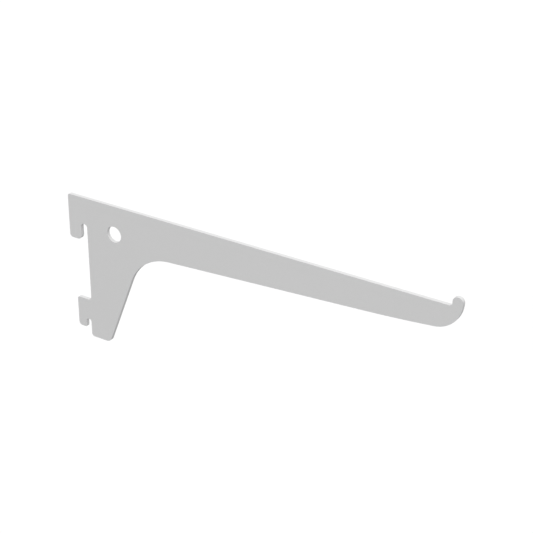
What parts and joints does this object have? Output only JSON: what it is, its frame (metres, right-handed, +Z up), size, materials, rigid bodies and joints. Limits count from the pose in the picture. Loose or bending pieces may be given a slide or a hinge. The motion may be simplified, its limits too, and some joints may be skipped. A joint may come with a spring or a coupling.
{
  "type": "slotted shelf bracket",
  "caption": "Flat steel bracket that hooks into a slotted wall upright and carries a shelf on its long tapering arm, with an upturned lip at the tip.",
  "frame": {"origin": "where the shelf edge meets the line of the back edge, halfway through the sheet", "axes": "+Z up, square to the shelf edge; +X out from the wall along the arm to the lip; +Y through the sheet"},
  "size_m": [0.2018, 0.0018, 0.0766],
  "materials": {
    "powder_coat": "satin powder coat"
  },
  "bodies": {
    "root": {"bracket_plate": "powder_coat"}
  },
  "joints": []
}
